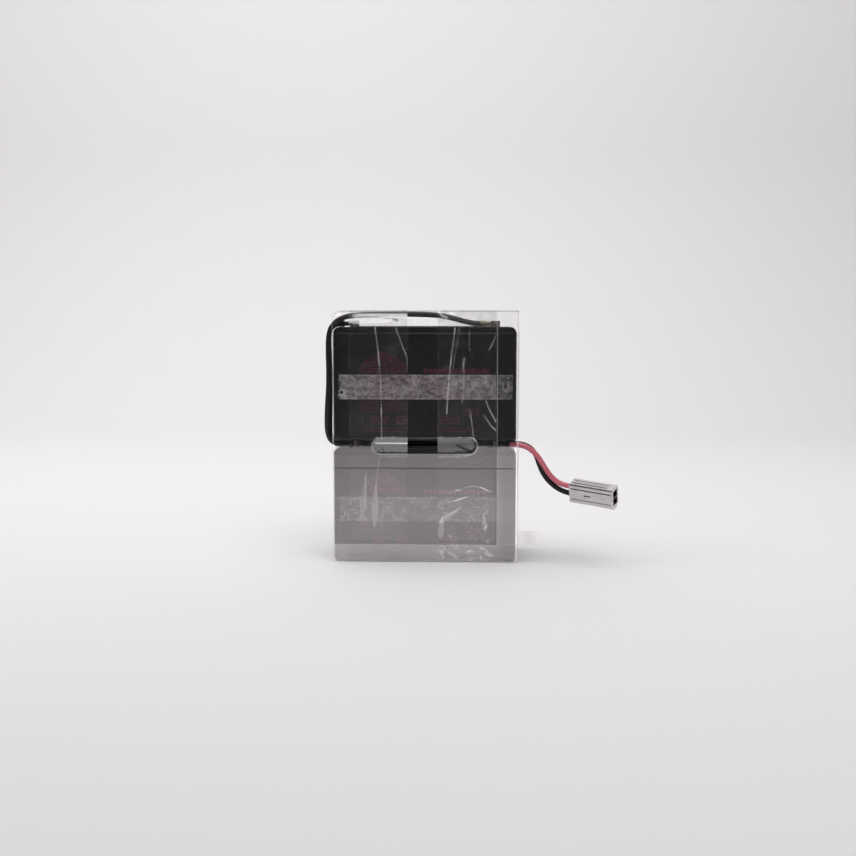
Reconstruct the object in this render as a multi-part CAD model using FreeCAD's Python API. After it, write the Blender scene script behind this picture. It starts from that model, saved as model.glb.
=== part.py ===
import FreeCAD, Part
import math
import os
from FreeCAD import Vector

# A replacement battery pack for a standby power supply: two sealed lead-acid batteries stand one on
# the other in a folded clear sleeve and are wired in series to a two-way plug. Millimetres, +Z up,
# the front of the pack faces -Y. Everything is drawn about the middle of the stack and is moved at
# the end, so that the origin is the bottom centre of the pack.

# Battery body
battery_length = 151.0
battery_depth = 65.0
battery_height = 94.5
vertical_corner = 3.0
foot_corner = 2.8

# Case
case_wall = 2.6
case_floor = 2.8
cell_count = 6
partition_wall = 1.6
seam_chamfer = 0.45

# Lid
lid_height = 17.0
lid_shoulder = 6.0
lid_step_drop = 5.0
lid_step_in = 1.6
lid_step_corner = 0.9
lid_roof = 4.2
lid_vent_roof = 9.6
lid_vent_roof_width = 30.0
lid_tongue_height = 1.6
lid_tongue_wall = 1.1
lid_tongue_clearance = 0.15

# Vent wells, caps and cover
vent_well_bore = 10.0
vent_well_depth = 7.0
vent_post_size = 5.0
vent_post_bore = 2.0
vent_post_height = 4.6
cap_wall = 1.1
cap_height = 5.6
cap_clearance = 0.05
cover_end = 17.5
cover_width = 26.0
cover_thickness = 2.2
cover_recess = 1.6
cover_corner = 3.0
cover_clearance = 0.15
cover_edge = 0.4
cover_vent_length = 7.0
cover_vent_width = 1.4
cover_vent_depth = 0.7
cover_vent_count = 5

# Terminals
tab_width = 6.35
tab_thickness = 0.8
tab_height = 4.6
tab_nose = 0.9
tab_hole = 1.8
tab_offset_end = 17.5
tab_offset_front = 8.0
post_size = 5.0
post_clearance = 0.1
well_length = 13.0
well_width = 11.0
well_depth = 1.9
well_corner = 1.5
well_clearance = 0.05
seal_thickness = 0.7

# Plates and straps inside each cell
plate_clearance = 0.5
strap_room = 6.7
plate_end_gap = 1.2
plate_groove = 0.7
plate_groove_depth = 1.5
plates_per_cell = 9
lug_width = 7.0
lug_height = 4.0
lug_thickness = 1.2
strap_width = 9.0
strap_height = 4.0
strap_offset = 17.0
strap_end_gap = 0.4
terminal_foot_height = 2.0
bridge_clearance = 0.1

# Stack
base_clearance = 0.1
stack_gap = 5.4
top_room = 12.8

# Clear sleeve
sheet_thickness = 0.5
sheet_fold_radius = 1.1
sheet_shoulder_radius = 7.0
front_clearance = 0.4
back_clearance = 0.4
left_clearance = 0.3
right_clearance = 1.6
lip_height = 14.8
lip_clearance = 0.15
flap_width = 17.9
flap_clearance = 0.15
panel_slit = 0.3
tongue_length = 20.0
tongue_height = 14.8
tongue_corner = 8.0
finger_slot_length = 86.0
finger_slot_height = 13.0
finger_slot_drop = 0.8
top_slot_back = 0.0
lead_hole_height = 11.5
lead_hole_width = 15.6
lead_hole_middle = 8.6
lead_hole_corner = 3.0
left_hole_rise = 0.6
shoulder_hole_drop = 20.0
shoulder_hole_reach = 7.5

# Tapes
tape_thickness = 0.1
tape_clearance = 0.1
tape_left_end = 13.4
tape_right_end = 16.6
tape_gap = 25.0
tape_foot = 1.5
tape_corner = 0.3
tape_step = 1.6
strip_thickness = 0.18
strip_clearance = 0.1
strip_width = 20.4
strip_length = 145.0
strip_above_middle = 3.6

# Flag receptacles
receptacle_wall = 0.45
receptacle_clearance = 0.04
receptacle_height = 6.0
receptacle_roll = 2.3
receptacle_lip = 2.2
receptacle_seat = 1.1
neck_length = 0.5
neck_height = 3.2
crimp_length = 4.8
crimp_size = 3.6
sleeve_crimp_length = 3.2
sleeve_crimp_wall = 0.25
crimp_centre_height = 2.6

# Leads
lead_size = 4.4
lead_clearance = 0.1

# Plug
plug_length = 38.0
plug_height = 17.0
plug_width = 12.6
plug_edge = 0.8
plug_yaw = 28.0
plug_dip = 5.0
plug_roll = 20.0
plug_place = (122.5, -24.0, 59.8)
plug_pitch = 6.8
plug_cavity_height = 5.6
plug_cavity_width = 8.0
plug_cavity_depth = 27.0
plug_bore_clearance = 0.2
plug_lead_depth = 2.3
plug_rib_height = 0.9
plug_rib_width = 1.25
plug_rib_place = 2.25
plug_rib_start = 2.0
plug_rib_end = 6.0
plug_groove_width = 1.0
plug_groove_depth = 0.8
plug_groove_end = 1.5
plug_groove_place = 4.7
plug_window_length = 5.6
plug_window_height = 1.3
plug_window_depth = 1.6
plug_window_place = 13.0
plug_foot_length = 5.0
plug_foot_height = 1.6
plug_foot_width = 2.2
contact_length = 21.0
contact_height = 4.4
contact_width = 3.2
contact_wall = 0.5
contact_slit = 1.2
contact_clearance = 0.3
contact_web = 1.0

# Routes of the leads, by their middle lines, drawn for tabs, ends and gaps at these places
drawn_tab_x = 58.0
drawn_tab_y = -24.5
drawn_crimp = 49.0
drawn_gap = 97.8
drawn_top = 195.0
link_route = [
    (49.0, -24.5, 197.6), (41.0, -24.5, 197.7), (32.5, -24.6, 199.4), (24.0, -24.8, 201.9),
    (13.5, -25.2, 204.2), (1.0, -25.5, 205.1), (-13.0, -25.7, 205.4), (-27.0, -25.9, 205.3),
    (-41.0, -26.4, 205.1), (-54.0, -27.3, 204.7), (-64.5, -28.3, 203.6), (-72.4, -28.8, 200.2),
    (-77.8, -28.8, 193.8), (-79.5, -28.8, 185.5), (-79.7, -28.7, 172.5), (-79.4, -28.5, 158.5),
    (-79.6, -28.3, 145.0), (-80.6, -27.9, 132.5), (-81.2, -27.1, 122.0), (-81.5, -26.1, 114.2),
    (-81.2, -25.3, 107.8), (-79.2, -24.7, 101.2), (-74.2, -24.5, 97.7), (-67.0, -24.5, 97.7),
]
negative_route = [
    (-67.0, -24.5, 197.6), (-73.4, -24.4, 197.6), (-78.6, -23.4, 193.5), (-80.0, -22.2, 186.8),
    (-80.0, -20.9, 178.5), (-79.7, -19.9, 167.5), (-79.3, -19.4, 154.0), (-79.3, -19.2, 140.0),
    (-79.7, -19.2, 128.0), (-80.0, -19.3, 118.5), (-80.1, -19.4, 111.0), (-79.9, -19.5, 104.8),
    (-78.1, -19.5, 99.6), (-73.2, -19.4, 97.8), (-66.6, -19.2, 97.8), (-57.0, -18.6, 97.8),
    (-46.0, -17.6, 97.8), (-33.0, -16.5, 97.8), (-18.0, -15.8, 97.8), (-3.0, -15.7, 97.8),
    (12.0, -16.1, 97.8), (27.0, -17.0, 97.8), (41.0, -18.1, 97.8), (54.0, -19.0, 97.8),
    (65.5, -19.5, 97.9), (75.0, -19.6, 98.1), (82.4, -19.4, 97.4), (88.8, -18.8, 93.8),
    (93.0, -18.0, 87.6), (95.4, -17.3, 80.2), (98.4, -16.9, 73.2), (102.7, -16.9, 67.0),
    (107.9, -17.3, 62.2), (113.7, -18.6, 58.7), (119.63, -21.16, 56.93), (124.56, -23.78, 56.45),
]
positive_route = [
    (67.0, -24.5, 97.7), (74.8, -24.5, 97.7), (82.7, -24.6, 96.6), (89.5, -24.3, 92.5),
    (94.5, -23.6, 86.8), (98.5, -22.6, 80.3), (102.4, -21.7, 74.0), (106.8, -21.2, 68.7),
    (112.2, -21.3, 65.0), (118.15, -23.01, 63.38), (123.96, -26.10, 62.81),
]

# Sizes that follow from the ones above
half_length = battery_length / 2
half_depth = battery_depth / 2
case_height = battery_height - lid_height
lower_floor = tape_clearance + sheet_thickness
upper_floor = lower_floor + battery_height + stack_gap
stack_top = upper_floor + battery_height
tab_x = half_length - tab_offset_end
tab_y = tab_offset_front - half_depth
plate_height = case_height - case_floor - strap_room - lug_height - strap_height
cell_length = (battery_length - 2 * case_wall - (cell_count - 1) * partition_wall) / cell_count
cell_pitch = cell_length + partition_wall
cover_length = battery_length - 2 * cover_end
sheet_left = -half_length - left_clearance - sheet_thickness / 2
sheet_right = half_length + right_clearance + sheet_thickness / 2
sheet_front = -half_depth - front_clearance - sheet_thickness / 2
sheet_back = half_depth + back_clearance + sheet_thickness / 2
sheet_flap = sheet_front - sheet_thickness - flap_clearance
sheet_lip = sheet_front - sheet_thickness - lip_clearance
tape_width = (battery_length - tape_left_end - tape_right_end - tape_gap) / 2
sheet_bottom = sheet_thickness / 2
sheet_top = stack_top + top_room + sheet_thickness / 2
tongue_tip = sheet_right + tongue_length
gap_middle = lower_floor + battery_height + stack_gap / 2


def box(x0, x1, y0, y1, z0, z1):
    """A block between two corners."""
    return Part.makeBox(x1 - x0, y1 - y0, z1 - z0, Vector(x0, y0, z0))


def rounded_block(length, width, height, corner, middle, bottom):
    """An upright block with rounded vertical edges."""
    x, y = middle
    block = box(x - length / 2, x + length / 2, y - width / 2, y + width / 2, bottom, bottom + height)
    upright = [e for e in block.Edges if abs(e.tangentAt(e.FirstParameter).z) > 0.9]
    return block.makeFillet(corner, upright)


def fused(shapes):
    """One solid from pieces that meet or overlap."""
    return shapes[0].multiFuse(shapes[1:]).removeSplitter()


def tangent_arc(before, corner, after, radius):
    """The two tangent points, the middle point and the centre of an arc that rounds a corner."""
    back = (before - corner).normalize()
    ahead = (after - corner).normalize()
    half = back.getAngle(ahead) / 2
    reach = radius / math.tan(half)
    bisector = (back + ahead).normalize()
    centre = corner + bisector * (radius / math.sin(half))
    return corner + back * reach, centre - bisector * radius, corner + ahead * reach, centre


def bent_strip(points, radii, thickness):
    """A face of one thickness along a bent line in the XY plane, as a sheet is folded."""
    line = [Vector(x, y, 0) for x, y in points]
    side_edges = {1: [], -1: []}
    first = (line[1] - line[0]).normalize()
    normal = Vector(-first.y, first.x, 0)
    start = {side: line[0] + normal * (side * thickness / 2) for side in (1, -1)}
    at = dict(start)
    for index in range(1, len(line) - 1):
        radius = radii[index - 1]
        p, m, q, centre = tangent_arc(line[index - 1], line[index], line[index + 1], radius)
        ahead = (line[index] - line[index - 1]).normalize()
        normal = Vector(-ahead.y, ahead.x, 0)
        for side in (1, -1):
            inward = (centre - p).dot(normal) * side > 0
            scale = (radius - thickness / 2) / radius if inward else (radius + thickness / 2) / radius
            a, b, c = (centre + (v - centre) * scale for v in (p, m, q))
            side_edges[side] += [Part.LineSegment(at[side], a).toShape(), Part.Arc(a, b, c).toShape()]
            at[side] = c
    last = (line[-1] - line[-2]).normalize()
    normal = Vector(-last.y, last.x, 0)
    for side in (1, -1):
        end = line[-1] + normal * (side * thickness / 2)
        side_edges[side].append(Part.LineSegment(at[side], end).toShape())
        at[side] = end
    caps = [Part.LineSegment(start[1], start[-1]).toShape(), Part.LineSegment(at[1], at[-1]).toShape()]
    edges = side_edges[1] + side_edges[-1] + caps
    return Part.Face(Part.Wire(Part.__sortEdges__(edges)))


def folded_upright(points, radii, thickness, z0, z1):
    """A strip bent in plan and standing upright."""
    face = bent_strip(points, radii, thickness)
    face.translate(Vector(0, 0, z0))
    return face.extrude(Vector(0, 0, z1 - z0))


def folded_across(points, radii, thickness, y0, y1):
    """A strip bent in the front view, from (x, z) points, and as deep as y0 to y1."""
    face = bent_strip(points, radii, thickness)
    face.rotate(Vector(0, 0, 0), Vector(1, 0, 0), 90)
    face.translate(Vector(0, y0, 0))
    return face.extrude(Vector(0, y1 - y0, 0))


def folded_along(points, radii, thickness, x0, x1):
    """A strip bent in the side view, from (y, z) points, and as wide as x0 to x1."""
    face = bent_strip(points, radii, thickness)
    face.rotate(Vector(0, 0, 0), Vector(1, 1, 1), 120)
    face.translate(Vector(x0, 0, 0))
    return face.extrude(Vector(x1 - x0, 0, 0))


def slot_cutter(length, height, depth):
    """A bar with round ends, lying along X in the XZ plane and deep along Y, about the origin."""
    middle = box(-(length - height) / 2, (length - height) / 2, -depth / 2, depth / 2, -height / 2, height / 2)
    ends = [
        Part.makeCylinder(height / 2, depth, Vector(x, -depth / 2, 0), Vector(0, 1, 0))
        for x in (-(length - height) / 2, (length - height) / 2)
    ]
    return fused([middle] + ends)


def cell_middles():
    """The middle of each cell along X."""
    first = -(cell_count - 1) * cell_pitch / 2
    return [first + cell_pitch * number for number in range(cell_count)]


def bridge_places():
    """Each inter-cell bridge: its X, at a partition, and its Y, by turns at the front and back."""
    middles = cell_middles()
    walls = [(middles[n] + middles[n + 1]) / 2 for n in range(cell_count - 1)]
    return [(x, strap_offset if n % 2 == 0 else -strap_offset) for n, x in enumerate(walls)]


def strap_bottom():
    """How high above the case's floor the straps lie."""
    return case_floor + plate_height + lug_height


def make_case():
    """The case: a box open at the top, its cells parted by walls that are notched for the bridges."""
    body = rounded_block(battery_length, battery_depth, case_height, vertical_corner, (0, 0), 0)
    foot = [e for e in body.Edges if e.BoundBox.ZMax < 0.01]
    body = body.makeFillet(foot_corner, foot)
    rim = [e for e in body.Edges if e.BoundBox.ZMin > case_height - 0.01]
    body = body.makeChamfer(seam_chamfer, rim)
    pockets = [
        box(x - cell_length / 2, x + cell_length / 2, case_wall - half_depth, half_depth - case_wall,
            case_floor, case_height + 1)
        for x in cell_middles()
    ]
    notch = strap_width / 2 + bridge_clearance
    notches = [
        box(x - partition_wall, x + partition_wall, y - notch, y + notch,
            strap_bottom() - bridge_clearance, case_height + 1)
        for x, y in bridge_places()
    ]
    return body.cut(fused(pockets + notches))


def lid_outline():
    """The lid's outer form: round shoulders at both ends, and a stepped edge at the front and back."""
    plan = rounded_block(battery_length, battery_depth, lid_height, vertical_corner, (0, 0), case_height)
    front = box(-half_length, half_length, -half_depth, half_depth, case_height, battery_height)
    shoulders = [
        e for e in front.Edges
        if e.BoundBox.ZMin > battery_height - 0.01 and e.BoundBox.XLength < 0.01
    ]
    front = front.makeFillet(lid_shoulder, shoulders)
    step = half_depth - lid_step_in
    low = box(-half_length, half_length, -half_depth, half_depth, case_height, battery_height - lid_step_drop)
    high = box(-half_length, half_length, -step, step, case_height, battery_height)
    high_edges = [
        e for e in high.Edges
        if e.BoundBox.ZMin > battery_height - 0.01 and e.BoundBox.YLength < 0.01
    ]
    low_edges = [
        e for e in low.Edges
        if e.BoundBox.ZMin > battery_height - lid_step_drop - 0.01 and e.BoundBox.YLength < 0.01
    ]
    side = low.makeFillet(lid_step_corner, low_edges).fuse(high.makeFillet(lid_step_corner, high_edges))
    return plan.common(front).common(side)


def terminal_places():
    """The X of the left and the right terminal."""
    return [-tab_x, tab_x]


def make_lid():
    """The lid: vent wells with posts, a recess for their cover, terminal wells and a tongue inside the rim."""
    outer = lid_outline()
    rim = [e for e in outer.Edges if e.BoundBox.ZMax < case_height + 0.01]
    outer = outer.makeChamfer(seam_chamfer, rim)
    inner_x = half_length - case_wall
    inner_y = half_depth - case_wall
    hollow = box(-inner_x, inner_x, -inner_y, inner_y, case_height - 1, battery_height - lid_roof)
    boss = box(-half_length, half_length, -lid_vent_roof_width / 2, lid_vent_roof_width / 2,
               battery_height - lid_vent_roof, battery_height)
    webs = [
        box(x - partition_wall / 2, x + partition_wall / 2, -inner_y, inner_y, case_height, battery_height)
        for x, _ in bridge_places()
    ]
    lid = outer.cut(hollow.cut(fused([boss] + webs)))
    tongue_outer = inner_x - lid_tongue_clearance
    tongue_depth = inner_y - lid_tongue_clearance
    ring = box(-tongue_outer, tongue_outer, -tongue_depth, tongue_depth,
               case_height - lid_tongue_height, case_height + 2)
    ring = ring.cut(box(-tongue_outer + lid_tongue_wall, tongue_outer - lid_tongue_wall,
                        -tongue_depth + lid_tongue_wall, tongue_depth - lid_tongue_wall,
                        case_height - lid_tongue_height - 1, case_height + 3))
    gaps = [
        box(x - partition_wall, x + partition_wall, -half_depth, half_depth,
            case_height - lid_tongue_height - 1, case_height)
        for x, _ in bridge_places()
    ]
    upper_ring = box(-inner_x - 0.1, inner_x + 0.1, -inner_y - 0.1, inner_y + 0.1, case_height, case_height + 2)
    upper_ring = upper_ring.cut(box(-tongue_outer + lid_tongue_wall, tongue_outer - lid_tongue_wall,
                                    -tongue_depth + lid_tongue_wall, tongue_depth - lid_tongue_wall,
                                    case_height - 1, case_height + 3))
    lid = fused([lid, ring.cut(fused(gaps)), upper_ring])
    recess = rounded_block(cover_length + 2 * cover_clearance, cover_width + 2 * cover_clearance,
                           cover_recess + 1, cover_corner, (0, 0), battery_height - cover_recess)
    cutters = [recess]
    posts = []
    for x in cell_middles():
        well_floor = battery_height - cover_recess - vent_well_depth
        cutters.append(Part.makeCylinder(vent_well_bore / 2, vent_well_depth + 1, Vector(x, 0, well_floor)))
        post = Part.makeCylinder(vent_post_size / 2, vent_post_height + 0.5, Vector(x, 0, well_floor - 0.5))
        bore = Part.makeCylinder(vent_post_bore / 2, lid_vent_roof + vent_post_height, Vector(x, 0, case_height))
        posts.append((post, bore))
    for x in terminal_places():
        well = rounded_block(well_length, well_width, well_depth + 1, well_corner, (x, tab_y),
                             battery_height - well_depth)
        hole = Part.makeCylinder(post_size / 2 + post_clearance, battery_height, Vector(x, tab_y, case_height))
        cutters += [well, hole]
    lid = lid.cut(fused(cutters))
    lid = fused([lid] + [post for post, _ in posts])
    return lid.cut(fused([bore for _, bore in posts]))


def make_vent_cover():
    """The strip over the vent wells, with short gas slots along its middle."""
    bottom = battery_height - cover_recess
    cover = rounded_block(cover_length, cover_width, cover_thickness, cover_corner, (0, 0), bottom)
    top = [e for e in cover.Edges if e.BoundBox.ZMin > bottom + cover_thickness - 0.01]
    cover = cover.makeChamfer(cover_edge, top)
    pitch = cover_length / (cover_vent_count + 1)
    slots = [
        box(-cover_length / 2 + pitch * (n + 1) - cover_vent_length / 2,
            -cover_length / 2 + pitch * (n + 1) + cover_vent_length / 2,
            -cover_vent_width / 2, cover_vent_width / 2,
            bottom + cover_thickness - cover_vent_depth, bottom + cover_thickness + 1)
        for n in range(cover_vent_count)
    ]
    return cover.cut(Part.makeCompound(slots))


def make_valve_caps():
    """One rubber cap over each vent post."""
    floor = battery_height - cover_recess - vent_well_depth
    inner = vent_post_size / 2 + cap_clearance
    caps = []
    for x in cell_middles():
        cap = Part.makeCylinder(inner + cap_wall, cap_height, Vector(x, 0, floor + cap_clearance))
        hollow = Part.makeCylinder(inner, vent_post_height + 2 * cap_clearance, Vector(x, 0, floor - cap_clearance))
        caps.append(cap.cut(hollow))
    return Part.makeCompound(caps)


def make_plate_packs():
    """The plates and separators of each cell, as one block grooved between plates, with its lugs."""
    packs = []
    half_x = cell_length / 2 - plate_clearance
    half_y = half_depth - case_wall - plate_end_gap
    pitch = 2 * half_x / plates_per_cell
    bottom = case_floor
    top = bottom + plate_height
    for x in cell_middles():
        block = box(x - half_x, x + half_x, -half_y, half_y, bottom, top)
        grooves = [
            box(x - half_x + pitch * n - plate_groove / 2, x - half_x + pitch * n + plate_groove / 2,
                -half_y - 1, half_y + 1, top - plate_groove_depth, top + 1)
            for n in range(1, plates_per_cell)
        ]
        lugs = []
        for n in range(plates_per_cell):
            lug_x = x - half_x + pitch * (n + 0.5)
            lug_y = strap_offset if n % 2 == 0 else -strap_offset
            lugs.append(box(lug_x - lug_thickness / 2, lug_x + lug_thickness / 2,
                            lug_y - lug_width / 2, lug_y + lug_width / 2, top - 1, top + lug_height))
        packs.append(fused([block.cut(fused(grooves))] + lugs))
    return Part.makeCompound(packs)


def make_straps():
    """The cast lead straps: a bar over each row of lugs, joined through the walls by turns."""
    bottom = strap_bottom()
    top = bottom + strap_height
    half_x = cell_length / 2 - plate_clearance - strap_end_gap
    bars = []
    for x, y in bridge_places():
        reach = cell_pitch / 2 + half_x
        bars.append(box(x - reach, x + reach, y - strap_width / 2, y + strap_width / 2, bottom, top))
    ends = cell_middles()
    last_y = -bridge_places()[-1][1]
    for x, y in ((ends[0], -strap_offset), (ends[-1], last_y)):
        bars.append(box(x - half_x, x + half_x, y - strap_width / 2, y + strap_width / 2, bottom, top))
    return Part.makeCompound(bars)


def make_terminal(x):
    """A post from the end strap with the tab blade that stands on it."""
    bottom = strap_bottom() + strap_height
    seat = battery_height - well_depth + seal_thickness
    post = Part.makeCylinder(post_size / 2, seat - bottom - seal_thickness / 2, Vector(x, tab_y, bottom))
    last_y = -strap_offset if x < 0 else -bridge_places()[-1][1]
    foot = box(x - strap_width / 2, x + strap_width / 2, min(tab_y - post_size / 2, last_y - strap_width / 2),
               last_y + strap_width / 2, bottom, bottom + terminal_foot_height)
    top = battery_height + tab_height
    outline = Part.makePolygon([
        Vector(x - tab_width / 2, 0, seat - seal_thickness), Vector(x + tab_width / 2, 0, seat - seal_thickness),
        Vector(x + tab_width / 2, 0, top - tab_nose), Vector(x + tab_width / 2 - tab_nose, 0, top),
        Vector(x - tab_width / 2 + tab_nose, 0, top), Vector(x - tab_width / 2, 0, top - tab_nose),
        Vector(x - tab_width / 2, 0, seat - seal_thickness),
    ])
    blade = Part.Face(outline)
    blade.translate(Vector(0, tab_y - tab_thickness / 2, 0))
    blade = blade.extrude(Vector(0, tab_thickness, 0))
    hole = Part.makeCylinder(tab_hole / 2, 4, Vector(x, tab_y - 2, battery_height + tab_height / 2), Vector(0, 1, 0))
    return fused([post, foot, blade.cut(hole)])


def make_seal(x):
    """The resin that fills the floor of a terminal well around the post and the blade."""
    bottom = battery_height - well_depth
    pad = rounded_block(well_length - 2 * well_clearance, well_width - 2 * well_clearance, seal_thickness,
                        well_corner, (x, tab_y), bottom)
    blade = box(x - tab_width / 2, x + tab_width / 2, tab_y - tab_thickness / 2, tab_y + tab_thickness / 2,
                bottom - 1, bottom + 2)
    post = Part.makeCylinder(post_size / 2, 3, Vector(x, tab_y, bottom - 1))
    return pad.cut(blade.fuse(post))


def make_receptacle(direction):
    """A flag receptacle: a rolled body over the tab, and a crimp barrel that points along X."""
    gap = receptacle_clearance
    inner = tab_width / 2 + gap
    outer = inner + receptacle_wall
    back = tab_thickness / 2 + gap
    bottom = battery_height - receptacle_seat
    top = bottom + receptacle_height
    plate = box(-outer, outer, back, back + receptacle_wall, bottom, top)
    rolls = []
    for side in (-1, 1):
        wall = sorted((side * inner, side * outer))
        rolls.append(box(wall[0], wall[1], back - receptacle_roll, back + receptacle_wall, bottom, top))
        lip = sorted((side * outer, side * (outer - receptacle_lip)))
        rolls.append(box(lip[0], lip[1], -back - receptacle_wall, -back, bottom, top))
    body = fused([plate] + rolls)
    centre = battery_height + crimp_centre_height
    reach = outer + neck_length
    neck_box = box(outer - 0.1, reach + 0.6, back, back + receptacle_wall, centre - neck_height / 2,
                   centre + neck_height / 2)
    crimp = Part.makeCylinder(crimp_size / 2, crimp_length, Vector(reach, 0, centre), Vector(1, 0, 0))
    grip_outer = lead_size / 2 + lead_clearance + sleeve_crimp_wall
    grip_start = Vector(reach + crimp_length, 0, centre)
    grip = Part.makeCylinder(grip_outer, sleeve_crimp_length, grip_start, Vector(1, 0, 0))
    grip = grip.cut(Part.makeCylinder(lead_size / 2 + lead_clearance, sleeve_crimp_length + 1, grip_start,
                                      Vector(1, 0, 0)))
    band = Part.makeCylinder(grip_outer, 0.5, Vector(reach + crimp_length - 0.5, 0, centre), Vector(1, 0, 0))
    shape = fused([body, neck_box, crimp, band, grip])
    if direction < 0:
        shape = shape.mirror(Vector(0, 0, 0), Vector(1, 0, 0))
    return shape


def lead_tube(name, route):
    """A lead: straight runs joined by arcs that touch both of them, with a round section."""
    points = [fitted(p) for p in route]
    runs = [(b - a).Length for a, b in zip(points, points[1:])]
    edges = []
    at = points[0]
    radii = []
    for index in range(1, len(points) - 1):
        before, corner, after = points[index - 1:index + 2]
        turn = math.pi - (before - corner).getAngle(after - corner)
        radius = 0.45 * min(runs[index - 1], runs[index]) / math.tan(turn / 2)
        p, m, q, _ = tangent_arc(before, corner, after, radius)
        edges += [Part.LineSegment(at, p).toShape(), Part.Arc(p, m, q).toShape()]
        radii.append(radius)
        at = q
    edges.append(Part.LineSegment(at, points[-1]).toShape())
    path = Part.Wire(edges)
    circle = Part.Wire([Part.makeCircle(lead_size / 2, points[0], points[1] - points[0])])
    tube = path.makePipeShell([circle], True, False)
    expected = math.pi * lead_size ** 2 / 4 * path.Length
    print(name, "length %.1f" % path.Length, "volume ratio %.4f" % (tube.Volume / expected),
          "radii", " ".join("%.0f" % r for r in radii))
    return tube


def fitted(point):
    """A point of a route, moved with the tabs, the gap between the batteries and the top of the stack."""
    x, y, z = point
    near = drawn_crimp + tab_x - drawn_tab_x
    if abs(x) < drawn_crimp:
        x = x * near / drawn_crimp
    else:
        x = math.copysign(abs(x) + tab_x - drawn_tab_x, x)
    if z <= drawn_gap + stack_gap / 2:
        z = z + gap_middle - drawn_gap
    elif z < drawn_top:
        low = drawn_gap + stack_gap / 2
        z = gap_middle + stack_gap / 2 + (z - low) * (stack_top - gap_middle - stack_gap / 2) / (drawn_top - low)
    else:
        z = z + stack_top - drawn_top
    return Vector(x, y + tab_y - drawn_tab_y, z)


def plug_frame():
    """The plug's own directions: x along it from the leads, z across its two ways."""
    yaw = FreeCAD.Rotation(Vector(0, 0, 1), -plug_yaw)
    dip = FreeCAD.Rotation(Vector(0, 1, 0), plug_dip)
    roll = FreeCAD.Rotation(Vector(1, 0, 0), plug_roll)
    return FreeCAD.Placement(fitted(plug_place), yaw.multiply(dip).multiply(roll))


def moved(shape, placement):
    """A copy of a shape at a placement."""
    copy = shape.copy()
    copy.Placement = placement.multiply(copy.Placement)
    return copy


def make_plug_housing():
    """The two-way housing: a cavity for each contact, ribs and grooves outside, and feet at its mouth."""
    half_h = plug_height / 2
    half_w = plug_width / 2
    body = box(0, plug_length, -half_w, half_w, -half_h, half_h)
    long_edges = [e for e in body.Edges if e.BoundBox.XLength > plug_length - 0.1]
    body = body.makeChamfer(plug_edge, long_edges)
    cutters = []
    for side in (-1, 1):
        z = side * plug_pitch / 2
        cutters.append(box(plug_length - plug_cavity_depth, plug_length + 1, -plug_cavity_width / 2,
                           plug_cavity_width / 2, z - plug_cavity_height / 2, z + plug_cavity_height / 2))
        cutters.append(Part.makeCylinder(lead_size / 2 + plug_bore_clearance, plug_length, Vector(-1, 0, z),
                                         Vector(1, 0, 0)))
        for y in (-1, 1):
            middle = side * plug_groove_place
            groove = box(plug_groove_end, plug_length - plug_groove_end,
                         y * half_w - plug_groove_depth, y * half_w + plug_groove_depth,
                         middle - plug_groove_width / 2, middle + plug_groove_width / 2)
            cutters.append(groove)
    for y in (-1, 1):
        cutters.append(box(plug_window_place, plug_window_place + plug_window_length,
                           y * half_w - plug_window_depth, y * half_w + plug_window_depth,
                           -plug_window_height / 2, plug_window_height / 2))
    body = body.cut(fused(cutters))
    ribs = []
    for side in (-1, 1):
        middle = side * plug_rib_place
        ribs.append(box(plug_rib_start, plug_length - plug_rib_end, middle - plug_rib_width / 2,
                        middle + plug_rib_width / 2, half_h - 0.1, half_h + plug_rib_height))
        ribs.append(box(plug_length - plug_foot_length, plug_length,
                        middle - plug_foot_width / 2, middle + plug_foot_width / 2,
                        -half_h - plug_foot_height, -half_h + 0.1))
    return moved(fused([body] + ribs), plug_frame())


def make_plug_contacts():
    """Two brass socket contacts, each a folded box with a slit, joined to the lead by a crimp."""
    contacts = []
    rear = plug_length - plug_cavity_depth + contact_clearance
    for side in (-1, 1):
        z = side * plug_pitch / 2
        tube = box(rear, rear + contact_length, -contact_width / 2, contact_width / 2,
                   z - contact_height / 2, z + contact_height / 2)
        bore = box(rear + contact_wall, rear + contact_length + 1, -contact_width / 2 + contact_wall,
                   contact_width / 2 - contact_wall, z - contact_height / 2 + contact_wall,
                   z + contact_height / 2 - contact_wall)
        slit = box(rear + contact_length / 2, rear + contact_length + 1, -contact_slit / 2, contact_slit / 2,
                   z, z + contact_height)
        crimp = Part.makeCylinder(lead_size / 2, rear + 0.5 - plug_lead_depth, Vector(plug_lead_depth, 0, z),
                                  Vector(1, 0, 0))
        contacts.append(fused([tube.cut(bore.fuse(slit)), crimp.cut(bore)]))
    return moved(Part.makeCompound(contacts), plug_frame())


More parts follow.
